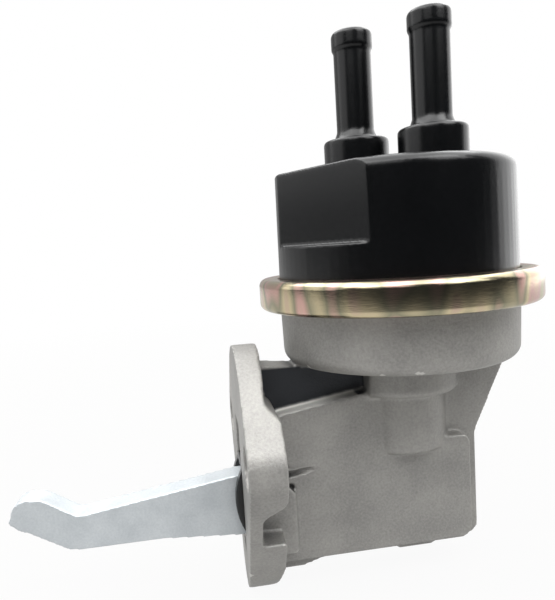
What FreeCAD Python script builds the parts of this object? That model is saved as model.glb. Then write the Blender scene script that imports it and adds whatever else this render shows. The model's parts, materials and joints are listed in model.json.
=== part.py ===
# Mechanical fuel pump: crimped diaphragm pump with a cam lever and two hose nipples.
# Frame: the origin is the middle of the mounting flange on its mating face.
# X runs from the mating face through the pump, Z runs up along the pump's axis.
# Millimetres.
import FreeCAD, Part
import math
import os
import re
import Sketcher

SIZES = {
    # where the pump's axis and the levels of the stack stand
    "axis_x": 39.5,
    "ring_z": 29.0,
    # crimp ring
    "ring_radius": 32.0,
    "ring_height": 7.05,
    "ring_sheet": 1.2,
    "ring_curl": 1.9,
    "ring_lip_reach": 4.4,
    # clamped rims
    "rim_gap": 0.3,
    "body_rim": 2.0,
    "diaphragm_thick": 1.0,
    # cover
    "cover_setback": 4.8,
    "cover_draft": 0.3,
    "cover_wall": 6.0,
    "chamber_corner": 1.5,
    "cover_height": 23.4,
    "cover_edge": 2.2,
    "cover_ceiling": 2.4,
    "partition_thick": 2.0,
    "flat_depth": 3.6,
    "flat_angle": -149.0,
    "flat_ledge": 7.1,
    # nipples
    "left_nipple_x": -6.8,
    "left_nipple_y": 3.7,
    "right_nipple_x": 6.8,
    "right_nipple_y": -8.5,
    "boss_radius": 7.55,
    "boss_height": 7.6,
    "boss_edge": 0.8,
    "nipple_length": 24.4,
    "nipple_foot_radius": 5.1,
    "nipple_foot_height": 2.0,
    "nipple_radius": 4.3,
    "nipple_head_radius": 4.7,
    "nipple_head_length": 3.8,
    "nipple_head_edge": 0.9,
    "nipple_bore": 2.9,
    # bowl, collar and rod tube
    "bowl_setback": 4.7,
    "bowl_draft": 0.3,
    "bowl_depth": 12.4,
    "bowl_corner": 2.8,
    "bowl_wall": 2.8,
    "bowl_floor": 3.0,
    "collar_radius": 13.6,
    "collar_depth": 8.0,
    "collar_corner": 1.6,
    "collar_flat": 10.2,
    "root_fillet": 0.8,
    "pocket_radius": 10.4,
    "pocket_depth": 7.5,
    "pocket_corner": 0.8,
    "tube_radius": 10.3,
    "tube_depth": 13.8,
    "tube_corner": 1.4,
    "tube_bore": 6.0,
    "tube_floor": 2.2,
    # lever housing
    "housing_half": 7.2,
    "housing_end": 53.5,
    "housing_bottom": -27.5,
    "housing_corner": 3.0,
    "housing_edge": 1.8,
    "housing_wall": 2.3,
    "housing_shoulder_z": -2.6,
    "housing_shoulder_corner": 2.2,
    "housing_slope_low": 5.0,
    "housing_slope_high": 9.2,
    "housing_rise_x": 6.0,
    "end_wall": 3.0,
    "floor_wall": 2.5,
    "roof_wall": 2.9,
    "opening_top": 4.5,
    "opening_corner": 2.0,
    "boss_half": 9.2,
    "boss_blind_wall": 1.5,
    "pin_boss_end": 11.5,
    "pin_boss_top": -9.2,
    "pin_boss_bottom": -24.6,
    "pin_boss_corner": 2.5,
    "crease_depth": 1.0,
    "crease_reach": 15.4,
    "crease_z": -4.9,
    "crease_mouth": 1.4,
    # web in the middle plane
    "web_half": 3.8,
    "web_end": 56.6,
    "web_bottom": -28.7,
    "web_nub_drop": 1.2,
    "web_nub_width": 8.5,
    "web_corner": 3.2,
    "web_nub": 36.4,
    "web_knee_z": -3.1,
    "web_top_x": 65.7,
    "web_left_top": 17.6,
    "web_left_end_z": 16.0,
    "web_left_end_x": 16.0,
    "web_lap": 1.5,
    "gusset_run": 27.0,
    "gusset_drop": 3.8,
    # mounting flange
    "flange_top_centre": 1.5,
    "flange_top_radius": 20.0,
    "flange_ear_radius": 7.0,
    "flange_bottom_centre": -24.8,
    "flange_bottom_radius": 10.0,
    "flange_foot": 8.0,
    "flange_ear_thick": 7.6,
    "flange_top_thick": 6.0,
    "flange_waist_thick": 4.8,
    "flange_waist_z": 11.9,
    "flange_step": 2.7,
    "flange_step_corner": 1.6,
    "flange_thin": 2.8,
    "scallop_top": -9.4,
    "scallop_bottom": -18.6,
    "scallop_corner": 2.2,
    "foot_round_z": -27.6,
    "foot_round_rise": 1.6,
    "foot_round": 3.2,
    "ear_inset": 0.4,
    "bolt_spacing": 38.0,
    "bolt_hole_radius": 4.25,
    # lever pivot
    "pivot_x": 7.3,
    "pivot_z": -15.0,
    "pin_radius": 2.75,
    "bush_wall": 1.0,
    "running_gap": 0.05,
    "plug_thick": 1.5,
    # lever
    "lever_half": 3.0,
    "lever_reach": 51.0,
    "lever_tip_z": -12.4,
    "lever_hook_x": -45.6,
    "lever_hook_z": -6.7,
    "lever_hook_corner": 4.0,
    "lever_neck_x": -36.2,
    "lever_neck_z": -12.7,
    "lever_root_top": -7.7,
    "lever_root_bottom": -21.8,
    "lever_belly_x": -38.2,
    "lever_belly_z": -20.1,
    "lever_waist_x": -20.0,
    "lever_hub_radius": 6.8,
    "lever_slot_half": 1.4,
    "slot_roof": 6.3,
    "slot_slope_end": 5.0,
    "heel_x": 27.0,
    "heel_rise": 5.4,
    "heel_drop": 0.4,
    "heel_web": 1.6,
    "lever_guide_front": 0.4,
    "lever_guide_bulge": 4.4,
    "lever_guide_round": 15.0,
    "lever_guide_depth": 6.4,
    "lever_guide_thick": 2.7,
    "lever_guide_gap": 0.3,
    "lever_guide_bridge": 1.0,
    "lever_guide_top": -5.0,
    "lever_guide_bottom": -20.4,
    # link arm and rod
    "link_half": 1.1,
    "link_play": 0.3,
    "link_waist": 3.5,
    "link_hub_radius": 6.0,
    "link_nose_radius": 2.0,
    "link_nose_z": -11.0,
    "rod_radius": 3.0,
    "rod_neck_radius": 2.0,
    "rod_guide_length": 8.0,
    "rod_end": -15.6,
    "rod_slot_half": 1.35,
    "rod_slot_top": -6.0,
    "rod_slot_play": 0.3,
    "rivet_radius": 3.6,
    "rivet_height": 1.0,
    # diaphragm plates and springs
    "plate_gap": 1.0,
    "plate_skirt": 1.6,
    "upper_plate_thick": 1.2,
    "lower_plate_thick": 1.0,
    "roll_gap": 1.2,
    "roll_width": 5.5,
    "roll_depth": 2.4,
    "roll_corner": 1.0,
    "main_spring_radius": 8.5,
    "main_spring_wire": 1.8,
    "main_spring_turns": 4.0,
    "seal_radius": 5.9,
    "seal_height": 3.0,
    "retainer_sheet": 0.8,
    "return_spring_x": 23.0,
    "return_spring_radius": 2.6,
    "return_spring_wire": 0.9,
    "return_spring_turns": 3.0,
    # valves
    "valve_plate_lap": 3.3,
    "valve_plate_thick": 3.0,
    "valve_plate_rise": 3.6,
    "plate_gasket_thick": 0.6,
    "plate_gasket_width": 2.0,
    "valve_wall_gap": 3.8,
    "inlet_valve_angle": 142.0,
    "outlet_valve_angle": -46.0,
    "valve_disc_radius": 5.4,
    "valve_disc_thick": 0.8,
    "valve_stem_radius": 1.2,
    "valve_head_radius": 2.6,
    "valve_head_thick": 0.5,
    "valve_port_radius": 1.15,
    "valve_port_circle": 3.3,
    "valve_ports": 5,
    "inlet_stem_drop": 2.9,
    "outlet_stem_rise": 6.0,
    "valve_spring_radius": 1.9,
    "valve_spring_wire": 0.3,
    "inlet_spring_turns": 2.0,
    "outlet_spring_turns": 4.0,
    # inlet strainer
    "strainer_radius": 5.6,
    "strainer_wall": 0.6,
    "strainer_drop": 7.0,
    "spigot_drop": 3.0,
}

# Levels and places that follow from the sizes above.
DERIVED = {
    "ring_top": "ring_z + ring_height",
    "body_rim_z": "ring_z + ring_sheet",
    "body_face": "body_rim_z + body_rim",
    "cover_face": "body_face + diaphragm_thick",
    "rim_radius": "ring_radius - ring_sheet - rim_gap",
    "cover_radius": "ring_radius - cover_setback",
    "cover_top_radius": "cover_radius - cover_draft",
    "flat_distance": "cover_radius - flat_depth",
    "cover_chamber_radius": "cover_radius - cover_wall",
    "bowl_radius": "ring_radius - bowl_setback",
    "roll_outer": "bowl_radius - bowl_wall - roll_gap",
    "roll_inner": "roll_outer - roll_width",
    "plate_radius": "roll_inner - plate_gap",
    "valve_plate_radius": "cover_chamber_radius + valve_plate_lap",
    "valve_circle": "cover_chamber_radius - valve_disc_radius - valve_wall_gap",
    "inlet_valve_x": "valve_circle * cos(inlet_valve_angle)",
    "inlet_valve_y": "valve_circle * sin(inlet_valve_angle)",
    "outlet_valve_x": "valve_circle * cos(outlet_valve_angle)",
    "outlet_valve_y": "valve_circle * sin(outlet_valve_angle)",
    "cover_rim_top": "ring_top - ring_sheet",
    "cover_top": "ring_top + cover_height",
    "boss_top": "cover_top + boss_height",
    "nipple_top": "boss_top + nipple_length",
    "ceiling_z": "cover_top - cover_ceiling",
    "bowl_bottom": "ring_z - bowl_depth",
    "bowl_floor_z": "bowl_bottom + bowl_floor",
    "collar_bottom": "bowl_bottom - collar_depth",
    "pocket_floor": "bowl_floor_z - pocket_depth",
    "tube_bottom": "collar_bottom - tube_depth",
    "cavity_half": "housing_half - housing_wall",
    "cavity_floor": "housing_bottom + floor_wall",
    "cavity_end": "housing_end - end_wall",
    "rise_x": "axis_x + housing_rise_x",
    "flange_low": "flange_bottom_centre - flange_bottom_radius",
    "guide_half": "lever_half + lever_guide_gap + lever_guide_thick",
    "web_slope_z": "bowl_bottom - 0.5",
    "bush_radius": "pin_radius + bush_wall",
    "upper_plate_top": "cover_face + upper_plate_thick",
    "lower_plate_bottom": "body_face - lower_plate_thick",
    "valve_plate_z": "upper_plate_top + valve_plate_rise",
    "valve_plate_top": "valve_plate_z + valve_plate_thick",
    "chamber_z": "valve_plate_top + plate_gasket_thick",
    "recess_radius": "valve_plate_radius + 0.1",
    "retainer_z": "pocket_floor + seal_height",
    "rod_slot_bottom": "link_nose_z - link_nose_radius - rod_slot_play",
}

doc = FreeCAD.newDocument("fuel_pump")
sheet = doc.addObject("Spreadsheet::Sheet", "Sizes")
for row, (alias, size) in enumerate(SIZES.items(), 1):
    sheet.set(f"A{row}", alias)
    sheet.set(f"B{row}", str(size))
    sheet.setAlias(f"B{row}", alias)
doc.recompute()


def formula(text):
    """Write a size formula out in the sheet's own cells."""
    def cell(match):
        word = match.group(0)
        if word in DERIVED:
            return "(" + formula(DERIVED[word]) + ")"
        return "Sizes." + word if word in SIZES else word
    return re.sub(r"[A-Za-z_]\w*", cell, str(text))


def value(text):
    """The number that a size formula gives."""
    return float(sheet.evalExpression(formula(text)))


def bind(thing, prop, text):
    """Tie a property to the sheet."""
    thing.setExpression(prop, formula(text))


def new_body(label, on_axis=True):
    """A body whose own origin stands on the pump's axis, or on the flange."""
    body = doc.addObject("PartDesign::Body", label)
    body.Label = label
    if on_axis:
        bind(body, "Placement.Base.x", "axis_x")
    return body


def new_sketch(body, name, role, across="0", up="0", out="0", turn="0"):
    """A sketch on one of the body's origin planes, moved and turned in it."""
    sketch = body.newObject("Sketcher::SketchObject", name)
    plane = next(f for f in body.Origin.OriginFeatures if f.Role == role)
    sketch.AttachmentSupport = (plane, [""])
    sketch.MapMode = "FlatFace"
    sketch.AttachmentOffset = FreeCAD.Placement(
        FreeCAD.Vector(value(across), value(up), value(out)),
        FreeCAD.Rotation(FreeCAD.Vector(0, 0, 1), value(turn)))
    bind(sketch, "AttachmentOffset.Base.x", across)
    bind(sketch, "AttachmentOffset.Base.y", up)
    bind(sketch, "AttachmentOffset.Base.z", out)
    if turn != "0":
        bind(sketch, "AttachmentOffset.Rotation.Angle", turn)
    return sketch


def pin_point(sketch, geometry, position, across, up):
    """Fix a sketch point at its distances from the sketch's origin."""
    for kind, text in (("DistanceX", across), ("DistanceY", up)):
        index = sketch.addConstraint(
            Sketcher.Constraint(kind, -1, 1, geometry, position, value(text)))
        bind(sketch, f"Constraints[{index}]", text)


def fix_radius(sketch, geometry, text):
    """Give a circle or an arc its radius from the sheet."""
    index = sketch.addConstraint(Sketcher.Constraint("Radius", geometry, value(text)))
    bind(sketch, f"Constraints[{index}]", text)


def circle(sketch, across, up, radius):
    """A circle with its centre and radius tied to the sheet."""
    centre = FreeCAD.Vector(value(across), value(up), 0)
    geometry = sketch.addGeometry(
        Part.Circle(centre, FreeCAD.Vector(0, 0, 1), value(radius)), False)
    pin_point(sketch, geometry, 3, across, up)
    fix_radius(sketch, geometry, radius)


def arc(sketch, centre, radius, start, end):
    """An arc from one point to another about a centre, counter-clockwise."""
    return sketch.addGeometry(Part.ArcOfCircle(
        Part.Circle(centre, FreeCAD.Vector(0, 0, 1), radius),
        math.atan2(start.y - centre.y, start.x - centre.x),
        math.atan2(end.y - centre.y, end.x - centre.x)), False)


def outline(sketch, corners):
    """A closed outline of straight edges whose corners may be rounded.

    Each corner is (across, up) or (across, up, radius).
    """
    points = [FreeCAD.Vector(value(c[0]), value(c[1]), 0) for c in corners]
    radii = [c[2] if len(c) > 2 else None for c in corners]
    count = len(points)
    entries, exits, centres, turns = [], [], [], []
    for k in range(count):
        back = (points[k - 1] - points[k]).normalize()
        ahead = (points[(k + 1) % count] - points[k]).normalize()
        if radii[k] is None:
            entries.append(points[k])
            exits.append(points[k])
            centres.append(None)
            turns.append(0)
            continue
        half = back.getAngle(ahead) / 2
        radius = value(radii[k])
        run = radius / math.tan(half)
        entries.append(points[k] + back * run)
        exits.append(points[k] + ahead * run)
        centres.append(points[k] + (back + ahead).normalize() * (radius / math.sin(half)))
        turns.append(-back.cross(ahead).z)
    lines = [sketch.addGeometry(Part.LineSegment(exits[k], entries[(k + 1) % count]), False)
             for k in range(count)]
    for k in range(count):
        before, after = lines[k - 1], lines[k]
        if radii[k] is None:
            sketch.addConstraint(Sketcher.Constraint("Coincident", before, 2, after, 1))
            pin_point(sketch, after, 1, corners[k][0], corners[k][1])
            continue
        left = turns[k] > 0
        start, end = (entries[k], exits[k]) if left else (exits[k], entries[k])
        bend = arc(sketch, centres[k], value(radii[k]), start, end)
        sketch.addConstraint(Sketcher.Constraint("Tangent", before, 2, bend, 1 if left else 2))
        sketch.addConstraint(Sketcher.Constraint("Tangent", after, 1, bend, 2 if left else 1))
        fix_radius(sketch, bend, radii[k])
        corner = sketch.addGeometry(Part.Point(points[k]), True)
        pin_point(sketch, corner, 1, corners[k][0], corners[k][1])
        sketch.addConstraint(Sketcher.Constraint("PointOnObject", corner, 1, before))
        sketch.addConstraint(Sketcher.Constraint("PointOnObject", corner, 1, after))


def belt(sketch, circles):
    """An outline drawn tight round circles, given counter-clockwise."""
    places = [(FreeCAD.Vector(value(c[0]), value(c[1]), 0), value(c[2])) for c in circles]
    count = len(places)
    leave, arrive = [None] * count, [None] * count
    for k in range(count):
        (here, radius), (there, other) = places[k], places[(k + 1) % count]
        run = there - here
        angle = math.atan2(run.y, run.x) - math.acos((radius - other) / run.Length)
        out = FreeCAD.Vector(math.cos(angle), math.sin(angle), 0)
        leave[k] = here + out * radius
        arrive[(k + 1) % count] = there + out * other
    lines = [sketch.addGeometry(Part.LineSegment(leave[k], arrive[(k + 1) % count]), False)
             for k in range(count)]
    for k in range(count):
        bend = arc(sketch, places[k][0], places[k][1], arrive[k], leave[k])
        sketch.addConstraint(Sketcher.Constraint("Tangent", lines[k - 1], 2, bend, 1))
        sketch.addConstraint(Sketcher.Constraint("Tangent", lines[k], 1, bend, 2))
        pin_point(sketch, bend, 3, circles[k][0], circles[k][1])
        fix_radius(sketch, bend, circles[k][2])


def check_change(body, before, grows, name):
    """Stop if a feature has not added or cut anything."""
    doc.recompute()
    change = body.Shape.Volume - before
    if (change > 0) != grows or abs(change) < 1e-3:
        raise RuntimeError(f"{body.Label}: {name} changed the volume by {change:.3f}")


def volume_of(body):
    """The volume of a body so far, or nothing before its first feature."""
    return body.Shape.Volume if body.Tip else 0.0


def extrude(body, name, sketch, length, cut=False, both=False, back=False):
    """Pad or pocket a sketch by a length, to one side or to both."""
    before = volume_of(body)
    feature = body.newObject("PartDesign::Pocket" if cut else "PartDesign::Pad", name)
    feature.Profile = sketch
    feature.SideType = "Symmetric" if both else "One side"
    feature.Reversed = back
    bind(feature, "Length", length)
    check_change(body, before, not cut, name)
    return feature


def turned(body, name, corners, cut=False, across="0", out="0"):
    """Revolve an outline of (radius, height) about the sketch's upright axis."""
    before = volume_of(body)
    sketch = new_sketch(body, name + "_profile", "XZ_Plane", across=across, out=out)
    outline(sketch, corners)
    kind = "PartDesign::Groove" if cut else "PartDesign::Revolution"
    feature = body.newObject(kind, name)
    feature.Profile = sketch
    feature.ReferenceAxis = (sketch, ["V_Axis"])
    feature.Angle = 360
    check_change(body, before, not cut, name)
    return feature


def coil(label, radius, wire, turns, foot, rise, on_axis=True, across="0", out="0"):
    """An open coil spring that stands on foot and is rise tall over its wire."""
    body = new_body(label, on_axis)
    sketch = new_sketch(body, label + "_wire", "XZ_Plane", across=across, out=out)
    circle(sketch, radius, f"{foot} + {wire} / 2", f"{wire} / 2")
    feature = body.newObject("PartDesign::AdditiveHelix", label + "_helix")
    feature.Profile = sketch
    feature.ReferenceAxis = (sketch, ["V_Axis"])
    feature.Mode = "height-turns-angle"
    bind(feature, "Height", f"{rise} - {wire}")
    bind(feature, "Turns", turns)
    doc.recompute()
    return body


def lower_body():
    """Die-cast body: bowl, collar, rod tube, lever housing, web and flange."""
    body = new_body("lower_body")
    flange = new_sketch(body, "flange_outline", "YZ_Plane", out="-axis_x")
    ear = "bolt_spacing / 2 - ear_inset"
    belt(flange, [
        ("0", "flange_bottom_centre", "flange_bottom_radius"),
        (ear, "0", "flange_ear_radius"),
        ("0", "flange_top_centre", "flange_top_radius"),
        ("-(" + ear + ")", "0", "flange_ear_radius")])
    extrude(body, "flange", flange, "flange_foot")
    relief = new_sketch(body, "flange_back", "XZ_Plane", across="-axis_x")
    top, far = "flange_top_centre + flange_top_radius + 5", "flange_foot + 5"
    outline(relief, [
        ("flange_top_thick", top),
        ("flange_waist_thick", "flange_waist_z", "flange_step_corner"),
        ("flange_ear_thick", "flange_waist_z - flange_step", "flange_step_corner"),
        ("flange_ear_thick", "scallop_top + scallop_corner", "scallop_corner"),
        ("flange_thin", "scallop_top - scallop_corner / 2", "scallop_corner"),
        ("flange_thin", "scallop_bottom", "root_fillet"),
        ("flange_foot", "scallop_bottom", "root_fillet"),
        ("flange_foot", "foot_round_z", "foot_round"),
        ("flange_foot - foot_round / 2", "flange_low + foot_round_rise", "foot_round"),
        ("0.5", "flange_low"),
        ("0.5", "flange_low - 5"),
        (far, "flange_low - 5"),
        (far, top)])
    extrude(body, "flange_relief", relief, "2 * (bolt_spacing + flange_ear_radius)",
            cut=True, both=True)

    web = new_sketch(body, "web_outline", "XZ_Plane", across="-axis_x")
    outline(web, [
        ("1", "housing_bottom - gusset_drop"),
        ("gusset_run / 2", "housing_bottom - gusset_drop + 0.6"),
        ("gusset_run", "housing_bottom + 0.5"),
        ("web_nub - 4", "housing_bottom + 0.5"),
        ("web_nub", "web_bottom - web_nub_drop", "root_fillet"),
        ("web_nub + web_nub_width", "web_bottom - web_nub_drop", "2"),
        ("web_nub + web_nub_width + 2", "web_bottom"),
        ("web_end", "web_bottom", "web_corner"),
        ("web_end", "web_knee_z", "3"),
        ("web_top_x", "web_slope_z"),
        ("web_top_x - 3", "bowl_bottom + web_lap"),
        ("web_left_end_x", "bowl_bottom + web_lap"),
        ("web_left_end_x", "web_left_end_z"),
        ("1", "web_left_top")])
    extrude(body, "web", web, "2 * web_half", both=True)

    turned(body, "bowl", [
        ("0", "tube_bottom"),
        ("tube_radius", "tube_bottom", "tube_corner"),
        ("tube_radius", "collar_bottom", "root_fillet"),
        ("collar_radius", "collar_bottom", "collar_corner"),
        ("collar_radius", "bowl_bottom", "root_fillet"),
        ("bowl_radius - bowl_draft", "bowl_bottom", "bowl_corner"),
        ("bowl_radius", "body_rim_z"),
        ("rim_radius", "body_rim_z"),
        ("rim_radius", "body_face"),
        ("0", "body_face")])
    flat = new_sketch(body, "collar_flat_outline", "XY_Plane", out="bowl_bottom")
    for side in ("", "-"):
        low, high = ("web_half", "collar_radius + 1")
        near, far = (low, high) if side == "" else ("-(" + high + ")", "-(" + low + ")")
        outline(flat, [
            ("-collar_radius - 1", near), ("-collar_flat", near),
            ("-collar_flat", far), ("-collar_radius - 1", far)])
    extrude(body, "collar_flats", flat, "collar_depth + 0.5", cut=True)

    housing = new_sketch(body, "housing_outline", "XZ_Plane", across="-axis_x")
    outline(housing, [
        ("1", "housing_bottom"),
        ("housing_end", "housing_bottom", "housing_corner"),
        ("housing_end", "housing_shoulder_z", "housing_shoulder_corner"),
        ("rise_x", "housing_shoulder_z"),
        ("rise_x", "collar_bottom + 1"),
        ("axis_x - collar_flat", "housing_slope_high"),
        ("1", "housing_slope_low")])
    extrude(body, "housing", housing, "2 * housing_half", both=True)

    pin_boss = new_sketch(body, "pin_boss_outline", "XZ_Plane", across="-axis_x")
    outline(pin_boss, [
        ("1", "pin_boss_bottom"),
        ("pin_boss_end", "pin_boss_bottom", "root_fillet"),
        ("pin_boss_end", "pin_boss_top", "pin_boss_corner"),
        ("1", "pin_boss_top")])
    extrude(body, "pin_boss", pin_boss, "2 * boss_half", both=True)

    turned(body, "bowl_inside", [
        ("0", "tube_bottom + tube_floor"),
        ("tube_bore", "tube_bottom + tube_floor"),
        ("tube_bore", "pocket_floor"),
        ("pocket_radius", "pocket_floor", "pocket_corner"),
        ("pocket_radius", "bowl_floor_z"),
        ("bowl_radius - bowl_wall", "bowl_floor_z", "bowl_corner"),
        ("bowl_radius - bowl_wall", "body_face + 1"),
        ("0", "body_face + 1")], cut=True)

    cavity = new_sketch(body, "cavity_outline", "XZ_Plane", across="-axis_x")
    outline(cavity, [
        ("-1", "cavity_floor"),
        ("cavity_end", "cavity_floor", "opening_corner"),
        ("cavity_end", "housing_shoulder_z - roof_wall"),
        ("rise_x - 0.5", "housing_shoulder_z - roof_wall"),
        ("rise_x - 0.5", "housing_slope_low - roof_wall"),
        ("flange_ear_thick", "housing_slope_low - roof_wall"),
        ("flange_ear_thick", "opening_top"),
        ("-1", "opening_top")])
    extrude(body, "cavity", cavity, "2 * cavity_half", cut=True, both=True)
    seat = new_sketch(body, "guide_seat_outline", "XZ_Plane", across="-axis_x")
    outline(seat, [
        ("-1", "lever_guide_bottom - 0.1"),
        ("lever_guide_depth + 0.1", "lever_guide_bottom - 0.1"),
        ("lever_guide_depth + 0.1", "lever_guide_top + 0.1"),
        ("-1", "lever_guide_top + 0.1")])
    extrude(body, "guide_seat", seat, "2 * (guide_half + 0.1)", cut=True, both=True)

    bolts = new_sketch(body, "bolt_circle", "YZ_Plane", out="-axis_x - 1")
    circle(bolts, "bolt_spacing / 2", "0", "bolt_hole_radius")
    circle(bolts, "-bolt_spacing / 2", "0", "bolt_hole_radius")
    extrude(body, "bolt_holes", bolts, "flange_foot + 3", cut=True, back=True)
    pin = new_sketch(body, "pin_bore_outline", "XZ_Plane", across="-axis_x",
                     out="boss_half - boss_blind_wall")
    circle(pin, "pivot_x", "pivot_z", "pin_radius")
    extrude(body, "pin_bore", pin, "2 * boss_half", cut=True)
    crease = new_sketch(body, "crease_outline", "XZ_Plane", across="-axis_x",
                        out="housing_half + 1")
    outline(crease, [
        ("flange_ear_thick - 1", "crease_z - crease_mouth"),
        ("crease_reach", "crease_z - 0.2"),
        ("crease_reach", "crease_z + 0.3"),
        ("flange_ear_thick - 1", "crease_z - 0.2")])
    extrude(body, "crease", crease, "crease_depth + 1", cut=True)
    vent = new_sketch(body, "vent_outline", "XZ_Plane")
    circle(vent, "0", "(bowl_floor_z + ring_z) / 2", "1.5")
    extrude(body, "vent", vent, "bowl_radius + 5", cut=True)
    return body


def crimp_ring():
    """Rolled ring whose two lips clamp the cover and the lower body."""
    body = new_body("crimp_ring")
    turned(body, "ring_section", [
        ("bowl_radius + 0.15", "ring_z + 0.25"),
        ("ring_radius", "ring_z", "ring_curl"),
        ("ring_radius", "ring_top", "1.1"),
        ("ring_radius - ring_lip_reach", "ring_top", "0.4"),
        ("ring_radius - ring_lip_reach", "cover_rim_top"),
        ("ring_radius - ring_sheet", "cover_rim_top"),
        ("ring_radius - ring_sheet", "body_rim_z"),
        ("bowl_radius + 0.15", "body_rim_z")])
    return body


def top_cover():
    """Moulded cover: rim, wall with a flat, two bosses and two nipples."""
    body = new_body("top_cover")
    turned(body, "cover_outside", [
        ("0", "cover_face"),
        ("rim_radius", "cover_face"),
        ("rim_radius", "cover_rim_top"),
        ("cover_radius", "cover_rim_top"),
        ("cover_top_radius", "cover_top", "cover_edge"),
        ("0", "cover_top")])
    flat = new_sketch(body, "flat_outline", "XY_Plane", out="cover_top + 1", turn="flat_angle")
    outline(flat, [
        ("flat_distance", "-cover_radius"), ("cover_radius + 5", "-cover_radius"),
        ("cover_radius + 5", "cover_radius"), ("flat_distance", "cover_radius")])
    extrude(body, "side_flat", flat, "cover_height - flat_ledge + 1", cut=True)
    for side in ("left", "right"):
        turned(body, side + "_nipple", [
            ("0", "ceiling_z"),
            ("boss_radius", "ceiling_z"),
            ("boss_radius", "boss_top", "boss_edge"),
            ("nipple_foot_radius", "boss_top", "0.7"),
            ("nipple_radius", "boss_top + nipple_foot_height"),
            ("nipple_radius", "nipple_top - nipple_head_length - 0.5"),
            ("nipple_head_radius", "nipple_top - nipple_head_length"),
            ("nipple_head_radius", "nipple_top", "nipple_head_edge"),
            ("0", "nipple_top")],
            across=side + "_nipple_x", out="-" + side + "_nipple_y")
    turned(body, "recess", [
        ("0", "cover_face - 1"),
        ("recess_radius", "cover_face - 1"),
        ("recess_radius", "chamber_z"),
        ("cover_chamber_radius", "chamber_z"),
        ("cover_chamber_radius", "ceiling_z", "chamber_corner"),
        ("0", "ceiling_z")], cut=True)
    turned(body, "strainer_spigot", [
        ("0", "ceiling_z - spigot_drop"),
        ("strainer_radius - strainer_wall", "ceiling_z - spigot_drop"),
        ("strainer_radius - strainer_wall", "ceiling_z + 0.5"),
        ("0", "ceiling_z + 0.5")],
        across="left_nipple_x", out="-left_nipple_y")
    for side, low in (("left", "ceiling_z - spigot_drop - 1"), ("right", "ceiling_z - 1")):
        turned(body, side + "_bore", [
            ("0", low), ("nipple_bore", low),
            ("nipple_bore", "nipple_top + 1"), ("0", "nipple_top + 1")],
            cut=True, across=side + "_nipple_x", out="-" + side + "_nipple_y")
    wall = new_sketch(body, "partition_outline", "XY_Plane", out="chamber_z",
                      turn="atan2(right_nipple_y - left_nipple_y; right_nipple_x - left_nipple_x)")
    outline(wall, [
        ("-partition_thick / 2", "-cover_chamber_radius - 0.5"),
        ("partition_thick / 2", "-cover_chamber_radius - 0.5"),
        ("partition_thick / 2", "cover_chamber_radius + 0.5"),
        ("-partition_thick / 2", "cover_chamber_radius + 0.5")])
    extrude(body, "partition", wall, "ceiling_z - chamber_z + 0.5")
    return body


def valve_plate():
    """Disc between the chambers and the diaphragm, with two ringed valve seats."""
    body = new_body("valve_plate")
    turned(body, "plate_disc", [
        ("0", "valve_plate_z"), ("valve_plate_radius", "valve_plate_z"),
        ("valve_plate_radius", "valve_plate_top"), ("0", "valve_plate_top")])
    ports = new_sketch(body, "ports", "XY_Plane", out="valve_plate_top + 1")
    for side in ("inlet", "outlet"):
        middle = (side + "_valve_x", side + "_valve_y")
        circle(ports, middle[0], middle[1], "valve_stem_radius")
        for port in range(int(SIZES["valve_ports"])):
            angle = f"(360 * {port} / valve_ports)"
            circle(ports, f"{middle[0]} + valve_port_circle * cos({angle})",
                   f"{middle[1]} + valve_port_circle * sin({angle})", "valve_port_radius")
    extrude(body, "port_holes", ports, "valve_plate_thick + 2", cut=True)
    return body


def ring_piece(label, inner, outer, low, high, across="0", out="0"):
    """A plain turned ring or disc."""
    body = new_body(label)
    turned(body, label + "_section", [
        (inner, low), (outer, low), (outer, high), (inner, high)], across=across, out=out)
    return body


def valve_parts(side, up):
    """The disc, the headed stem and the spring of one valve."""
    across, out = side + "_valve_x", "-" + side + "_valve_y"
    sign, seat = ("+", "valve_plate_top") if up else ("-", "valve_plate_z")
    reach = "outlet_stem_rise" if up else "inlet_stem_drop"
    far = f"({seat} {sign} valve_disc_thick)"
    tip = f"({seat} {sign} {reach})"
    head = f"({tip} - ({sign}1) * valve_head_thick)"
    other = "valve_plate_z" if up else "valve_plate_top"
    low, high = (seat, far) if up else (far, seat)
    disc = ring_piece(side + "_valve_disc", "valve_stem_radius + running_gap",
                      "valve_disc_radius", low, high, across, out)
    stem = new_body(side + "_valve_stem")
    turned(stem, side + "_stem_section", [
        ("0", tip), ("valve_head_radius", tip), ("valve_head_radius", head),
        ("valve_stem_radius", head), ("valve_stem_radius", other), ("0", other)],
        across=across, out=out)
    foot, rise = (far, f"({head} - {far})") if up else (head, f"({far} - {head})")
    spring = coil(side + "_valve_spring", "valve_spring_radius", "valve_spring_wire",
                  side + "_spring_turns", foot, rise, across=across, out=out)
    return [disc, stem, spring]


def inlet_strainer():
    """Sieve cup pressed on the spigot under the inlet nipple."""
    body = new_body("inlet_strainer")
    turned(body, "strainer_section", [
        ("0", "ceiling_z - strainer_drop"),
        ("strainer_radius", "ceiling_z - strainer_drop", "1"),
        ("strainer_radius", "ceiling_z"),
        ("strainer_radius - strainer_wall", "ceiling_z"),
        ("strainer_radius - strainer_wall", "ceiling_z - strainer_drop + strainer_wall"),
        ("0", "ceiling_z - strainer_drop + strainer_wall")],
        across="left_nipple_x", out="-left_nipple_y")
    return body


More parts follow.
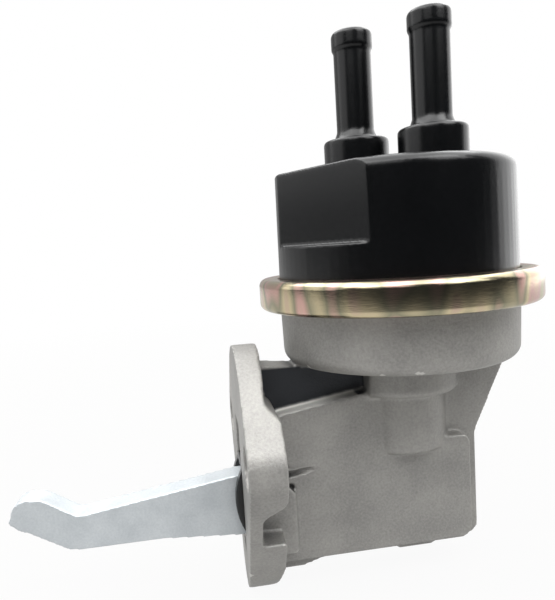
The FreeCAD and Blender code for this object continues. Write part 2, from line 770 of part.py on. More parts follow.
def diaphragm():
    """Rubbered cloth disc, flat at its rim and its middle, with one roll."""
    body = new_body("diaphragm")
    middle = "(roll_inner + roll_outer) / 2"
    turned(body, "diaphragm_section", [
        ("rod_neck_radius", "body_face"),
        ("roll_inner", "body_face", "roll_corner"),
        (middle, "body_face - roll_depth", "roll_corner + 0.6"),
        ("roll_outer", "body_face", "roll_corner"),
        ("rim_radius", "body_face"),
        ("rim_radius", "cover_face"),
        ("roll_outer - 0.2", "cover_face", "roll_corner"),
        (middle, "cover_face - roll_depth - 0.2", "roll_corner + 0.2"),
        ("roll_inner + 0.2", "cover_face", "roll_corner"),
        ("rod_neck_radius", "cover_face")])
    return body


def plates():
    """Dished plates that clamp the middle of the diaphragm."""
    upper = new_body("upper_plate")
    turned(upper, "upper_plate_section", [
        ("rod_neck_radius", "cover_face"), ("plate_radius", "cover_face"),
        ("plate_radius", "upper_plate_top", "0.5"), ("rod_neck_radius", "upper_plate_top")])
    lower = new_body("lower_plate")
    turned(lower, "lower_plate_section", [
        ("rod_neck_radius", "lower_plate_bottom"),
        ("plate_radius - lower_plate_thick", "lower_plate_bottom"),
        ("plate_radius - lower_plate_thick", "lower_plate_bottom - plate_skirt"),
        ("plate_radius", "lower_plate_bottom - plate_skirt"),
        ("plate_radius", "body_face", "0.8"),
        ("rod_neck_radius", "body_face")])
    return [upper, lower]


def pull_rod():
    """Rod riveted over the plates, with a slot for the link arm near its end."""
    body = new_body("pull_rod")
    turned(body, "rod_section", [
        ("0", "rod_end"),
        ("rod_radius", "rod_end", "0.6"),
        ("rod_radius", "lower_plate_bottom"),
        ("rod_neck_radius", "lower_plate_bottom"),
        ("rod_neck_radius", "upper_plate_top"),
        ("rivet_radius", "upper_plate_top"),
        ("rivet_radius", "upper_plate_top + rivet_height", "0.5"),
        ("0", "upper_plate_top + rivet_height")])
    slot = new_sketch(body, "rod_slot_outline", "YZ_Plane", out="-rod_radius - 1")
    outline(slot, [
        ("-rod_slot_half", "rod_slot_bottom"), ("rod_slot_half", "rod_slot_bottom"),
        ("rod_slot_half", "rod_slot_top"), ("-rod_slot_half", "rod_slot_top")])
    extrude(body, "rod_slot", slot, "2 * rod_radius + 2", cut=True, back=True)
    return body


def seal_group():
    """Rod guide, lip seal and the hat washer that holds the seal down."""
    guide = ring_piece("rod_guide", "rod_radius + running_gap", "tube_bore",
                       "pocket_floor - rod_guide_length", "pocket_floor")
    seal = new_body("oil_seal")
    turned(seal, "seal_section", [
        ("rod_radius + running_gap", "pocket_floor"),
        ("seal_radius", "pocket_floor"),
        ("seal_radius", "retainer_z"),
        ("rod_radius + 1.2", "retainer_z"),
        ("rod_radius + 1.2", "pocket_floor + 1.4"),
        ("rod_radius + running_gap", "pocket_floor + 0.8")])
    hat = new_body("seal_retainer")
    turned(hat, "retainer_section", [
        ("seal_radius", "pocket_floor"),
        ("pocket_radius - pocket_corner - 0.1", "pocket_floor"),
        ("pocket_radius - pocket_corner - 0.1", "pocket_floor + retainer_sheet"),
        ("seal_radius + retainer_sheet", "pocket_floor + retainer_sheet"),
        ("seal_radius + retainer_sheet", "retainer_z + retainer_sheet"),
        ("rod_radius + 0.6", "retainer_z + retainer_sheet"),
        ("rod_radius + 0.6", "retainer_z"),
        ("seal_radius", "retainer_z")])
    return [guide, seal, hat]


def cylinders_across(label, inner, outer, spans):
    """Solids turned about the pivot's cross axis, each from one side to another."""
    body = new_body(label, on_axis=False)
    for number, (right, left) in enumerate(spans):
        sketch = new_sketch(body, f"{label}_circle_{number}", "XZ_Plane", out=f"-({right})")
        circle(sketch, "pivot_x", "pivot_z", outer)
        if inner:
            circle(sketch, "pivot_x", "pivot_z", inner)
        extrude(body, f"{label}_length_{number}", sketch, f"{right} - ({left})")
    return body


def pivot_group():
    """Pivot pin, its bushes in the lever's cheeks and the plug over its open end."""
    pin_end, side = "boss_half - plug_thick", "link_half + link_play"
    pin = cylinders_across("pivot_pin", None, "pin_radius", [
        (pin_end, "-(boss_half - boss_blind_wall)")])
    plug = cylinders_across("pin_plug", None, "pin_radius", [("boss_half", pin_end)])
    bush = cylinders_across("lever_bush", "pin_radius + running_gap", "bush_radius", [
        (side, "lever_half"), ("-lever_half", f"-({side})")])
    return [pin, plug, bush]


def rocker_lever():
    """Lever with a hooked cam end, a pivot hub and a slotted heel."""
    body = new_body("rocker_lever", on_axis=False)
    side = new_sketch(body, "lever_outline", "XZ_Plane")
    outline(side, [
        ("heel_x", "pivot_z - heel_drop", "1"),
        ("heel_x", "pivot_z + heel_rise", "1.5"),
        ("pivot_x + lever_hub_radius", "lever_root_top + 0.6", "8"),
        ("-1", "lever_root_top", "20"),
        ("lever_neck_x", "lever_neck_z", "3.5"),
        ("lever_hook_x", "lever_hook_z", "lever_hook_corner"),
        ("-lever_reach", "lever_tip_z", "0.9"),
        ("lever_belly_x", "lever_belly_z", "5"),
        ("lever_waist_x", "lever_belly_z", "30"),
        ("0", "lever_root_bottom", "20"),
        ("pivot_x + 1", "pivot_z - lever_hub_radius", "4"),
        ("pivot_x + lever_hub_radius + 2", "pivot_z - heel_drop", "2.5")])
    extrude(body, "lever_plate", side, "2 * lever_half", both=True)
    slot = new_sketch(body, "lever_slot_outline", "XZ_Plane")
    slot_end = "pivot_x - link_hub_radius - 0.5"
    outline(slot, [
        (slot_end, "lever_root_bottom - 2"),
        ("heel_x + 1", "lever_root_bottom - 2"),
        ("heel_x + 1", "pivot_z + heel_rise - heel_web"),
        ("heel_x - slot_slope_end", "pivot_z + heel_rise - heel_web"),
        ("pivot_x + link_hub_radius", "pivot_z + slot_roof"),
        (slot_end, "pivot_z + slot_roof")])
    extrude(body, "lever_slot", slot, "2 * lever_slot_half", cut=True, both=True)
    hole = new_sketch(body, "lever_hole_outline", "XZ_Plane")
    circle(hole, "pivot_x", "pivot_z", "bush_radius")
    extrude(body, "lever_hole", hole, "2 * lever_half + 2", cut=True, both=True)
    return body


def link_arm():
    """Thin arm on the same pin whose round nose pulls the rod down."""
    body = new_body("link_arm", on_axis=False)
    side = new_sketch(body, "link_outline", "XZ_Plane")
    nose_low, nose_high = "link_nose_z - link_nose_radius", "link_nose_z + link_nose_radius"
    outline(side, [
        ("pivot_x - link_hub_radius", "pivot_z - link_hub_radius", "link_hub_radius - 0.3"),
        ("pivot_x + link_hub_radius", "pivot_z - link_hub_radius", "4"),
        ("pivot_x + 1.5 * link_hub_radius", "pivot_z - 0.2", "3"),
        ("heel_x", "pivot_z - 0.2", "4"),
        ("axis_x - 1.7 * link_nose_radius", nose_low + " + 0.6", "2"),
        ("axis_x - link_nose_radius / 2", nose_low, "1.2"),
        ("axis_x + 0.9 * link_nose_radius", nose_low, "1.3"),
        ("axis_x + 0.9 * link_nose_radius", nose_high, "1.3"),
        ("axis_x - 3 * link_nose_radius", nose_high, "5"),
        ("heel_x + 1", "pivot_z + link_waist", "4"),
        ("heel_x - 6", "pivot_z + link_waist", "4"),
        ("pivot_x + link_hub_radius", "pivot_z + link_hub_radius", "3"),
        ("pivot_x - link_hub_radius", "pivot_z + link_hub_radius", "link_hub_radius - 0.4")])
    extrude(body, "link_plate", side, "2 * link_half", both=True)
    hole = new_sketch(body, "link_hole_outline", "XZ_Plane")
    circle(hole, "pivot_x", "pivot_z", "pin_radius + running_gap")
    extrude(body, "link_hole", hole, "2 * link_half + 2", cut=True, both=True)
    return body


def lever_guide():
    """Black moulded saddle that steadies the lever in the flange's opening."""
    body = new_body("lever_guide", on_axis=False)
    side = new_sketch(body, "guide_outline", "XZ_Plane")
    outline(side, [
        ("lever_guide_depth", "lever_guide_bottom"),
        ("lever_guide_depth", "lever_guide_top"),
        ("lever_guide_front", "lever_guide_top"),
        ("lever_guide_front - lever_guide_bulge", "(lever_guide_top + lever_guide_bottom) / 2",
         "lever_guide_round"),
        ("lever_guide_front", "lever_guide_bottom")])
    extrude(body, "guide_block", side, "2 * guide_half", both=True)
    gap = new_sketch(body, "guide_gap_outline", "XZ_Plane")
    outline(gap, [
        ("-lever_guide_bulge", "lever_guide_bottom - 1"),
        ("lever_guide_depth + 1", "lever_guide_bottom - 1"),
        ("lever_guide_depth + 1", "lever_guide_top - lever_guide_bridge"),
        ("-lever_guide_bulge", "lever_guide_top - lever_guide_bridge")])
    extrude(body, "guide_gap", gap, "2 * (lever_half + lever_guide_gap)", cut=True, both=True)
    hole = new_sketch(body, "guide_hole_outline", "XZ_Plane")
    circle(hole, "pivot_x", "pivot_z", "pin_radius + running_gap")
    extrude(body, "guide_hole", hole, "2 * guide_half + 2", cut=True, both=True)
    return body


def check_and_write(parts):
    """Stop on any failed feature, then write each piece to its own file."""
    doc.recompute()
    for thing in doc.Objects:
        if {"Invalid", "Error"} & set(thing.State):
            raise RuntimeError(f"{thing.Name} failed: {thing.State}")
    os.makedirs("parts", exist_ok=True)
    for part in parts:
        shape = part.Shape
        if shape.isNull() or not shape.isValid() or not shape.Solids:
            raise RuntimeError(f"{part.Label} has no sound shape")
        print(part.Label, len(shape.Solids), round(shape.Volume, 1))
        shape.exportStep(os.path.join("parts", part.Label + ".step"))


def springs():
    """Diaphragm spring round the seal, and the lever's return spring."""
    main = coil("main_spring", "main_spring_radius", "main_spring_wire", "main_spring_turns",
                "pocket_floor + retainer_sheet",
                "(lower_plate_bottom - pocket_floor - retainer_sheet)")
    back = coil("return_spring", "return_spring_radius", "return_spring_wire",
                "return_spring_turns", "cavity_floor", "(pivot_z - heel_drop - cavity_floor)",
                on_axis=False, across="return_spring_x")
    return [main, back]


def main():
    """Build every piece of the pump and write it out."""
    gasket = ring_piece("plate_gasket", "valve_plate_radius - plate_gasket_width",
                        "valve_plate_radius", "valve_plate_top", "chamber_z")
    check_and_write([
        lower_body(), crimp_ring(), top_cover(), valve_plate(), gasket, inlet_strainer(),
        *valve_parts("inlet", False), *valve_parts("outlet", True),
        diaphragm(), *plates(), pull_rod(), *seal_group(),
        *pivot_group(), rocker_lever(), link_arm(), lever_guide(), *springs()])


main()
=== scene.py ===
"""Mechanical fuel pump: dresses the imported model, adds rounded skins, sets up the studio."""
import json
import logging
import math
from collections.abc import Callable, Sequence
from dataclasses import dataclass, field
from enum import Enum

import bpy
from mathutils import Euler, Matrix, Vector

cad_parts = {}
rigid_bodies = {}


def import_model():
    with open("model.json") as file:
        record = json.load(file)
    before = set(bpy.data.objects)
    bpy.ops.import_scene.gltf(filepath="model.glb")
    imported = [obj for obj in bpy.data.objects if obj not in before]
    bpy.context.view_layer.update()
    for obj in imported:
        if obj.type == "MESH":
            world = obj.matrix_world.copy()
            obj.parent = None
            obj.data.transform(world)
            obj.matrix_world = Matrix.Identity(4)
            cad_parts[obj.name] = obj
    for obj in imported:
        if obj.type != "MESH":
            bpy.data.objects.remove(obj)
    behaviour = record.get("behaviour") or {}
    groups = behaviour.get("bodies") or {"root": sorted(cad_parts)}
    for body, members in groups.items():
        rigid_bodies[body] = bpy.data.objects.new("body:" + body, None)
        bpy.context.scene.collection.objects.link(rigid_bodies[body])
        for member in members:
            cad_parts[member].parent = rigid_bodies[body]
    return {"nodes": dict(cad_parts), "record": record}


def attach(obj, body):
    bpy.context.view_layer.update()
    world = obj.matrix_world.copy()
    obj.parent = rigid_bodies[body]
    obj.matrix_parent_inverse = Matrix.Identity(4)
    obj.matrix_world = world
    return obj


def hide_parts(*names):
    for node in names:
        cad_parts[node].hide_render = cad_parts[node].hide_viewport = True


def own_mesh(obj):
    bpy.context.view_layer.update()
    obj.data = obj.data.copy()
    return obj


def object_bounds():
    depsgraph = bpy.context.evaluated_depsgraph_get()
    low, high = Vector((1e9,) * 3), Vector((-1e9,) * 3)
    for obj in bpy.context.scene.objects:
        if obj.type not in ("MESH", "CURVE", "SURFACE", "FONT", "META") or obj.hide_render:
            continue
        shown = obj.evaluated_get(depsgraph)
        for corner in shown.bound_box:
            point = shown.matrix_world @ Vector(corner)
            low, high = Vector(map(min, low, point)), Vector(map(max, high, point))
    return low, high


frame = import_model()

CAD_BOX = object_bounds()
MM = 0.001
MERGE = 0.002 * MM  # a CAD copy's doubled corners lie closer than this
NEAR = 0.1 * MM  # how far a corner may lie from the place that it is picked by
SMOOTH_BELOW = math.radians(40)  # edges that turn less than this are shaded smooth
LOG = logging.getLogger("fuel_pump")
Colour = tuple[float, float, float, float]
Point = tuple[float, float, float]


class Body(Enum):
    """The moving bodies of the pump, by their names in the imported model."""

    ROOT = "root"
    LEVER = "lever"


class Ramp(Enum):
    """How a colour ramp passes from one stop to the next."""

    LINEAR = "LINEAR"


def linear(code: str) -> Colour:
    """Turns an sRGB colour to a linear one, by the standard's own curve.

    Args:
        code: the hex value, such as "#8c8a86".

    Returns:
        Red, green, blue and a full alpha.
    """
    parts = [int(code[k:k + 2], 16) / 255 for k in (1, 3, 5)]
    red, green, blue = (p / 12.92 if p <= 0.04045 else ((p + 0.055) / 1.055) ** 2.4 for p in parts)
    return red, green, blue, 1.0


def add(tree: bpy.types.NodeTree, kind: str, inputs: dict[str | int, object] | None = None,
        stops: Sequence[tuple[float, Colour]] = (), **settings: object) -> bpy.types.Node:
    """Adds a node with its settings and links.

    Args:
        tree: the material's node tree.
        kind: the node's type name.
        inputs: sockets by name or number, each a value or the output that feeds it.
        stops: places and colours of a colour ramp.
        settings: the node's own properties.

    Returns:
        The new node.
    """
    node = tree.nodes.new(kind)
    for name, setting in settings.items():
        setattr(node, name, setting)
    for name, source in (inputs or {}).items():
        if isinstance(source, bpy.types.NodeSocket):
            tree.links.new(source, node.inputs[name])
        else:
            node.inputs[name].default_value = source
    if stops:
        node.color_ramp.interpolation = Ramp.LINEAR.value
        elements = node.color_ramp.elements
        while len(elements) < len(stops):
            elements.new(1.0)
        for element, (place, colour) in zip(elements, stops):
            element.position, element.color = place, colour
    return node


# ---------------------------------------------------------------- finishes


@dataclass(frozen=True)
class Zone:
    """A box of a casting whose skin is painted another colour: on the cast finish, one box is a
    painted highlight and three are painted shade. Sizes are in millimetres.
    """

    middle: Point
    half: Point
    colour: str
    fade: float = 0.03

    def tint(self, tree: bpy.types.NodeTree, place: bpy.types.NodeSocket,
             colour: bpy.types.NodeSocket) -> bpy.types.NodeSocket:
        """Changes a colour inside the box.

        Args:
            tree: the material's node tree.
            place: the coordinates of the surface.
            colour: the colour outside the box.

        Returns:
            The output for the colour with the box.
        """
        off = add(tree, "ShaderNodeVectorMath", {0: place, 1: [m * MM for m in self.middle]},
                  operation="SUBTRACT")
        size = add(tree, "ShaderNodeVectorMath", {0: off.outputs[0]}, operation="ABSOLUTE")
        share = add(tree, "ShaderNodeVectorMath", {
            0: size.outputs[0], 1: [h * MM for h in self.half]}, operation="DIVIDE")
        axes = add(tree, "ShaderNodeSeparateXYZ", {0: share.outputs[0]})
        flat = add(tree, "ShaderNodeMath", {0: axes.outputs[0], 1: axes.outputs[1]},
                   operation="MAXIMUM")
        most = add(tree, "ShaderNodeMath", {0: flat.outputs[0], 1: axes.outputs[2]},
                   operation="MAXIMUM")
        outside = add(tree, "ShaderNodeMapRange", {
            "Value": most.outputs[0], "From Min": 1 - self.fade, "From Max": 1 + self.fade})
        mixed = add(tree, "ShaderNodeMix", {
            0: outside.outputs["Result"], 6: linear(self.colour), 7: colour}, data_type="RGBA")
        return mixed.outputs[2]


@dataclass(frozen=True)
class Finish:
    """A surface with a grain, slow patches of colour, sharp edges made brighter as wear and as a
    painted highlight, painted shade in its hollows, and boxes painted lighter or darker.

    Sizes are in millimetres, colours are sRGB hex values. Each span holds the values at which
    its effect starts and ends.
    """

    name: str
    light: str = ""
    dark: str = ""
    metallic: float = 0.0
    roughness: float = 0.5
    rough_spread: float = 0.08
    grain: float = 0.6
    grain_depth: float = 0.03
    patch: float = 7.0
    # Colour of sharp edges: partly wear, partly a painted highlight.
    wear_and_highlight: str = ""
    # Colour of the painted shade that occlusion puts in the hollows.
    occlusion_shade: str = ""
    reach: float = 14.0
    zones: tuple[Zone, ...] = ()
    ior: float = 1.5
    grain_share: float = 0.45
    tone_span: tuple[float, float] = (0.36, 0.64)
    edge_span: tuple[float, float] = (0.53, 0.6)
    open_span: tuple[float, float] = (0.12, 0.42)
    open_samples: int = 8

    def material(self) -> bpy.types.Material:
        """Builds the material from its nodes.

        Returns:
            The material, with nothing in it that depends on the view.
        """
        made = bpy.data.materials.new(self.name)
        made.use_nodes = True
        tree = made.node_tree
        tree.nodes.clear()
        place = add(tree, "ShaderNodeTexCoord").outputs["Object"]
        colour, bump, height = self.surface(tree, place)
        low, high = self.roughness - self.rough_spread, self.roughness + self.rough_spread
        rough = add(tree, "ShaderNodeMapRange", {"Value": height, "To Min": low, "To Max": high})
        shader = add(tree, "ShaderNodeBsdfPrincipled", {
            "Base Color": colour, "Metallic": self.metallic,
            "Roughness": rough.outputs["Result"], "Normal": bump, "IOR": self.ior})
        add(tree, "ShaderNodeOutputMaterial", {"Surface": shader.outputs["BSDF"]})
        return made

    def surface(self, tree: bpy.types.NodeTree, place: bpy.types.NodeSocket
                ) -> tuple[bpy.types.NodeSocket, bpy.types.NodeSocket, bpy.types.NodeSocket]:
        """Mixes the two colours by slow patches and fine grain, and raises the grain.

        Args:
            tree: the material's node tree.
            place: the coordinates that the patterns follow.

        Returns:
            The outputs for colour, normal and the pattern's height.
        """
        grain = add(tree, "ShaderNodeTexNoise", {
            "Vector": place, "Scale": 1 / (self.grain * MM), "Detail": 3.0, "Roughness": 0.6})
        patch = add(tree, "ShaderNodeTexNoise", {
            "Vector": place, "Scale": 1 / (self.patch * MM), "Detail": 4.0, "Roughness": 0.55})
        mixed = add(tree, "ShaderNodeMix", {
            "Factor": self.grain_share, 2: patch.outputs["Fac"], 3: grain.outputs["Fac"]})
        tone = add(tree, "ShaderNodeValToRGB", {"Fac": mixed.outputs[0]}, stops=list(zip(
            self.tone_span, (linear(self.dark), linear(self.light)))))
        colour = tone.outputs["Color"]
        # Sharp edges are brightened, partly as wear and partly as a painted highlight.
        if self.wear_and_highlight:
            edge = add(tree, "ShaderNodeNewGeometry").outputs["Pointiness"]
            edge_share = add(tree, "ShaderNodeMapRange", {
                "Value": edge, "From Min": self.edge_span[0], "From Max": self.edge_span[1]})
            colour = add(tree, "ShaderNodeMix", {
                0: edge_share.outputs["Result"], 6: colour, 7: linear(self.wear_and_highlight)},
                data_type="RGBA").outputs[2]
        # Painted shade: the colour is darkened where nearby surfaces hem the skin in.
        if self.occlusion_shade:
            open_air = add(tree, "ShaderNodeAmbientOcclusion", {
                "Distance": self.reach * MM}, samples=self.open_samples, only_local=True)
            unshaded = add(tree, "ShaderNodeMapRange", {
                "Value": open_air.outputs["AO"], "From Min": self.open_span[0],
                "From Max": self.open_span[1]})
            colour = add(tree, "ShaderNodeMix", {
                0: unshaded.outputs["Result"], 6: linear(self.occlusion_shade), 7: colour},
                data_type="RGBA").outputs[2]
        # Boxes painted another colour: painted highlight where lighter, painted shade where
        # darker.
        for zone in self.zones:
            colour = zone.tint(tree, place, colour)
        bump = add(tree, "ShaderNodeBump", {
            "Strength": 1.0, "Distance": self.grain_depth * MM, "Height": grain.outputs["Fac"]})
        return colour, bump.outputs["Normal"], grain.outputs["Fac"]


@dataclass(frozen=True)
class YellowZinc(Finish):
    """Passivated zinc: a clear film over bright steel that throws pink, green and straw tints.

    The tints stand in for the light and dark colours.
    """

    tints: tuple[str, ...] = ("#c4a596", "#b9b097", "#d2aba0", "#95917a", "#cbbd9b", "#c6a49d",
                              "#b7b293")
    streak: float = 0.35
    film_span: tuple[float, float] = (0.28, 0.72)
    scratch_squash: float = 9.0

    def surface(self, tree: bpy.types.NodeTree, place: bpy.types.NodeSocket
                ) -> tuple[bpy.types.NodeSocket, bpy.types.NodeSocket, bpy.types.NodeSocket]:
        """Runs the film's tints in streaks along the ring, with fine scratches.

        Args:
            tree: the material's node tree.
            place: the coordinates that the patterns follow.

        Returns:
            The outputs for colour, normal and the pattern's height.
        """
        stretched = add(tree, "ShaderNodeMapping", {
            "Vector": place, "Scale": (1.0, 1.0, self.streak)})
        film = add(tree, "ShaderNodeTexNoise", {
            "Vector": stretched.outputs[0], "Scale": 1 / (self.patch * MM), "Detail": 1.0,
            "Roughness": 0.5, "Distortion": 0.0})
        first, last = self.film_span
        step = (last - first) / (len(self.tints) - 1)
        tone = add(tree, "ShaderNodeValToRGB", {"Fac": film.outputs["Fac"]}, stops=[
            (first + step * k, linear(tint)) for k, tint in enumerate(self.tints)])
        lines = add(tree, "ShaderNodeMapping", {
            "Vector": place, "Scale": (1.0, 1.0, self.scratch_squash)})
        scratch = add(tree, "ShaderNodeTexNoise", {
            "Vector": lines.outputs[0], "Scale": 1 / (self.grain * MM), "Detail": 3.0})
        bump = add(tree, "ShaderNodeBump", {
            "Strength": 1.0, "Distance": self.grain_depth * MM,
            "Height": scratch.outputs["Fac"]})
        return tone.outputs["Color"], bump.outputs["Normal"], scratch.outputs["Fac"]


# Die-cast aluminium as it leaves the mould: fine pebbled skin, dull. Its sharp edges are
# brightened, partly as wear and partly as a painted highlight; its sloping rims are painted
# lighter as a painted highlight (the first zone); the recesses beside the web are painted dark
# as painted shade (the other three); and its hollows get painted shade from occlusion.
CAST = Finish("die_cast_aluminium", "#aba9a5", "#8d8c89", metallic=0.45, roughness=0.5,
              rough_spread=0.08, grain=0.55, grain_depth=0.09, patch=14.0, wear_and_highlight="#d2d1cd",
              occlusion_shade="#4b4c50",
              # The first zone paints the sloping rims lighter, as a painted highlight.
              zones=(Zone((17.6, 0.0, 8.2), (9.4, 6.95, 3.4), "#d8d7d2"),
                     # The other three paint the recesses beside the web dark, as painted shade.
                     Zone((18.5, 0.0, 8.1), (13.6, 3.93, 8.2), "#34363a"),
                     Zone((30.6, 0.0, 13.6), (2.2, 4.6, 3.2), "#34363a"),
                     Zone((9.0, 0.0, 11.2), (2.6, 4.6, 3.4), "#34363a")))
# Yellow passivated zinc on rolled steel: shiny with slow rainbow tints.
ZINC = YellowZinc("yellow_passivated_zinc", metallic=1.0, roughness=0.21, rough_spread=0.06,
                  grain=1.6, grain_depth=0.012, patch=10.0)
# Black glass-filled nylon, moulded in a fine-eroded tool: satin with a faint grain.
COVER = Finish("moulded_black_nylon", "#08090b", "#050607", roughness=0.25, rough_spread=0.04,
               grain=0.7, grain_depth=0.012, patch=8.0)
# Case-hardened steel, blasted: matt bluish grey.
LEVER = Finish("case_hardened_steel", "#d4d9dc", "#bfc5c9", metallic=0.4, roughness=0.45,
               rough_spread=0.07, grain=0.5, grain_depth=0.02, patch=6.0)
# Black acetal, moulded in a polished tool: glossy.
GUIDE = Finish("moulded_black_acetal", "#101214", "#08090a", roughness=0.24, rough_spread=0.05,
               grain=1.2, grain_depth=0.01, patch=5.0, ior=1.48)
INNER = {
    # Natural acetal, moulded: creamy white with a slight gloss.
    "white_acetal": Finish("moulded_natural_acetal", "#ece7db", "#ddd7c8", roughness=0.4),
    # Nitrile rubber, moulded: dull black with a bloom.
    "black_rubber": Finish("moulded_nitrile_rubber", "#232323", "#161616", roughness=0.7,
                           grain_depth=0.02),
    # Nylon gauze on a moulded cup: the threads show as a fine grain.
    "strainer_nylon": Finish("nylon_gauze", "#dcd8c6", "#a8a38e", roughness=0.55, grain=0.35,
                             grain_depth=0.06),
    # Brown fluoro-rubber, moulded smooth.
    "valve_rubber": Finish("moulded_brown_rubber", "#3a2a22", "#281c17", roughness=0.55),
    # Free-cutting brass, turned: warm yellow.
    "brass": Finish("turned_brass", "#d8b56a", "#bd9750", metallic=1.0, roughness=0.3,
                    grain=0.9, grain_depth=0.008),
    # Drawn spring wire with a film of oil: dark grey.
    "spring_steel": Finish("drawn_spring_wire", "#8e8e90", "#6c6c6f", metallic=1.0,
                           roughness=0.34, grain=0.8, grain_depth=0.008),
    # Woven cloth under rubber: the weave shows through the skin.
    "diaphragm_cloth": Finish("rubbered_cloth", "#3a3834", "#262422", roughness=0.75, grain=0.5,
                              grain_depth=0.07),
    # Bright zinc on pressed steel: silver with a slight blue.
    "zinc_steel": Finish("bright_zinc_plate", "#cdd2d6", "#b0b6ba", metallic=1.0, roughness=0.33,
                         grain=0.9, grain_depth=0.01),
    # Sintered bronze, full of oil: brown with open pores.
    "bronze": Finish("sintered_bronze", "#b08a55", "#8a6838", metallic=0.9, roughness=0.5,
                     grain=0.4, grain_depth=0.03),
    # Ground steel pin.
    "hardened_steel": Finish("ground_steel", "#bfc1c3", "#a3a5a7", metallic=1.0, roughness=0.25,
                             grain=0.5, grain_depth=0.006),
}


# ---------------------------------------------------------------- modelling


def only(thing: bpy.types.Object) -> None:
    """Makes one object the only selected one and the active one.

    Args:
        thing: the object.
    """
    for other in bpy.context.view_layer.objects:
        other.select_set(False)
    thing.select_set(True)
    bpy.context.view_layer.objects.active = thing


def modify(thing: bpy.types.Object, kind: str, **settings: object) -> None:
    """Adds a modifier and applies it.

    Args:
        thing: the object that is shaped.
        kind: the modifier's type.
        settings: the modifier's own properties.
    """
    modifier = thing.modifiers.new(kind.title(), kind)
    for name, setting in settings.items():
        setattr(modifier, name, setting)
    only(thing)
    bpy.ops.object.modifier_apply(modifier=modifier.name)


def choose(thing: bpy.types.Object, kind: str, test: Callable[[Vector], bool]) -> None:
    """Selects, in edit mode, the edges or faces whose corners all pass a test.

    Args:
        thing: the object in edit mode.
        kind: EDGE or FACE.
        test: says of a corner's place, in metres, whether it counts.
    """
    bpy.ops.mesh.select_mode(type=kind)
    bpy.ops.mesh.select_all(action="DESELECT")
    bpy.ops.object.mode_set(mode="OBJECT")
    mesh = thing.data
    good = [test(v.co) for v in mesh.vertices]
    for piece in mesh.edges if kind == "EDGE" else mesh.polygons:
        piece.select = all(good[k] for k in piece.vertices)
    bpy.ops.object.mode_set(mode="EDIT")


def settle(name: str) -> bpy.types.Object:
    """Names the new primitive and puts its place into its mesh.

    Args:
        name: the piece's name.

    Returns:
        The piece, alone selected.
    """
    thing = bpy.context.active_object
    thing.name = thing.data.name = name
    only(thing)
    bpy.ops.object.transform_apply(location=True, rotation=True, scale=True)
    return thing


def bar(name: str, low: Point, high: Point) -> bpy.types.Object:
    """Makes a square bar between two corners.

    Args:
        name: its name.
        low: its lowest corner in millimetres.
        high: its highest corner in millimetres.

    Returns:
        The bar.
    """
    middle = [(a + b) / 2 * MM for a, b in zip(low, high)]
    bpy.ops.mesh.primitive_cube_add(size=1.0, location=middle,
                                    scale=[(b - a) * MM for a, b in zip(low, high)])
    return settle(name)


def merged_copy(node: str, name: str) -> bpy.types.Object:
    """Copies a CAD solid as a new piece and merges its doubled corners.

    Args:
        node: the CAD node.
        name: the new piece's name.

    Returns:
        The copy, alone selected.
    """
    thing = bpy.data.objects.new(name, frame["nodes"][node].data.copy())
    bpy.context.collection.objects.link(thing)
    only(thing)
    bpy.ops.object.mode_set(mode="EDIT")
    bpy.ops.mesh.select_all(action="SELECT")
    bpy.ops.mesh.remove_doubles(threshold=MERGE)
    bpy.ops.object.mode_set(mode="OBJECT")
    return thing


def combine(thing: bpy.types.Object, tool: bpy.types.Object, operation: str) -> None:
    """Cuts a tool out of a piece or adds it, and clears the tool away.

    Args:
        thing: the piece.
        tool: the shape that is cut or added.
        operation: DIFFERENCE or UNION.
    """
    modify(thing, "BOOLEAN", object=tool, operation=operation, solver="EXACT")
    bpy.data.objects.remove(tool)


def finish_piece(thing: bpy.types.Object, material: bpy.types.Material, slot: str,
                 body: Body, *stands_for: str) -> bpy.types.Object:
    """Paints a finished piece, puts it on its body and hides the solids that it stands for.

    Args:
        thing: the piece, with its place in its mesh.
        material: its finish.
        slot: the record's material slot; it is not used.
        body: the body that it moves with.
        stands_for: the CAD nodes that it replaces.

    Returns:
        The piece.
    """
    thing.data.materials.clear()
    thing.data.materials.append(material)
    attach(thing, body.value)
    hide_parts(*stands_for)
    LOG.info("made %s, %d faces, for %s", thing.name, len(thing.data.polygons),
             ", ".join(stands_for))
    return thing


@dataclass
class Moulding:
    """A cast or moulded piece: the solid's own shape with every edge softened by the tool.

    Sizes are in millimetres.
    """

    node: str
    name: str
    material: bpy.types.Material
    slot: str
    body: Body = Body.ROOT
    voxel: float = 0.42
    rounding: int = 3
    strength: float = 0.5
    most_triangles: int = 190_000

    def build(self) -> bpy.types.Object:
        """Copies the solid, closes it as one skin and rounds its edges.

        Returns:
            The finished piece.
        """
        thing = merged_copy(self.node, self.name)
        self.detail(thing)
        modify(thing, "REMESH", mode="VOXEL", voxel_size=self.voxel * MM)
        modify(thing, "SMOOTH", factor=self.strength, iterations=self.rounding)
        triangles = 2 * len(thing.data.polygons)
        if triangles > self.most_triangles:
            modify(thing, "DECIMATE", ratio=self.most_triangles / triangles)
        bpy.ops.object.shade_smooth()
        return finish_piece(thing, self.material, self.slot, self.body, self.node)

    def detail(self, thing: bpy.types.Object) -> None:
        """Adds small forms before the edges are softened; a plain moulding has none.

        Args:
            thing: the copy of the solid.
        """


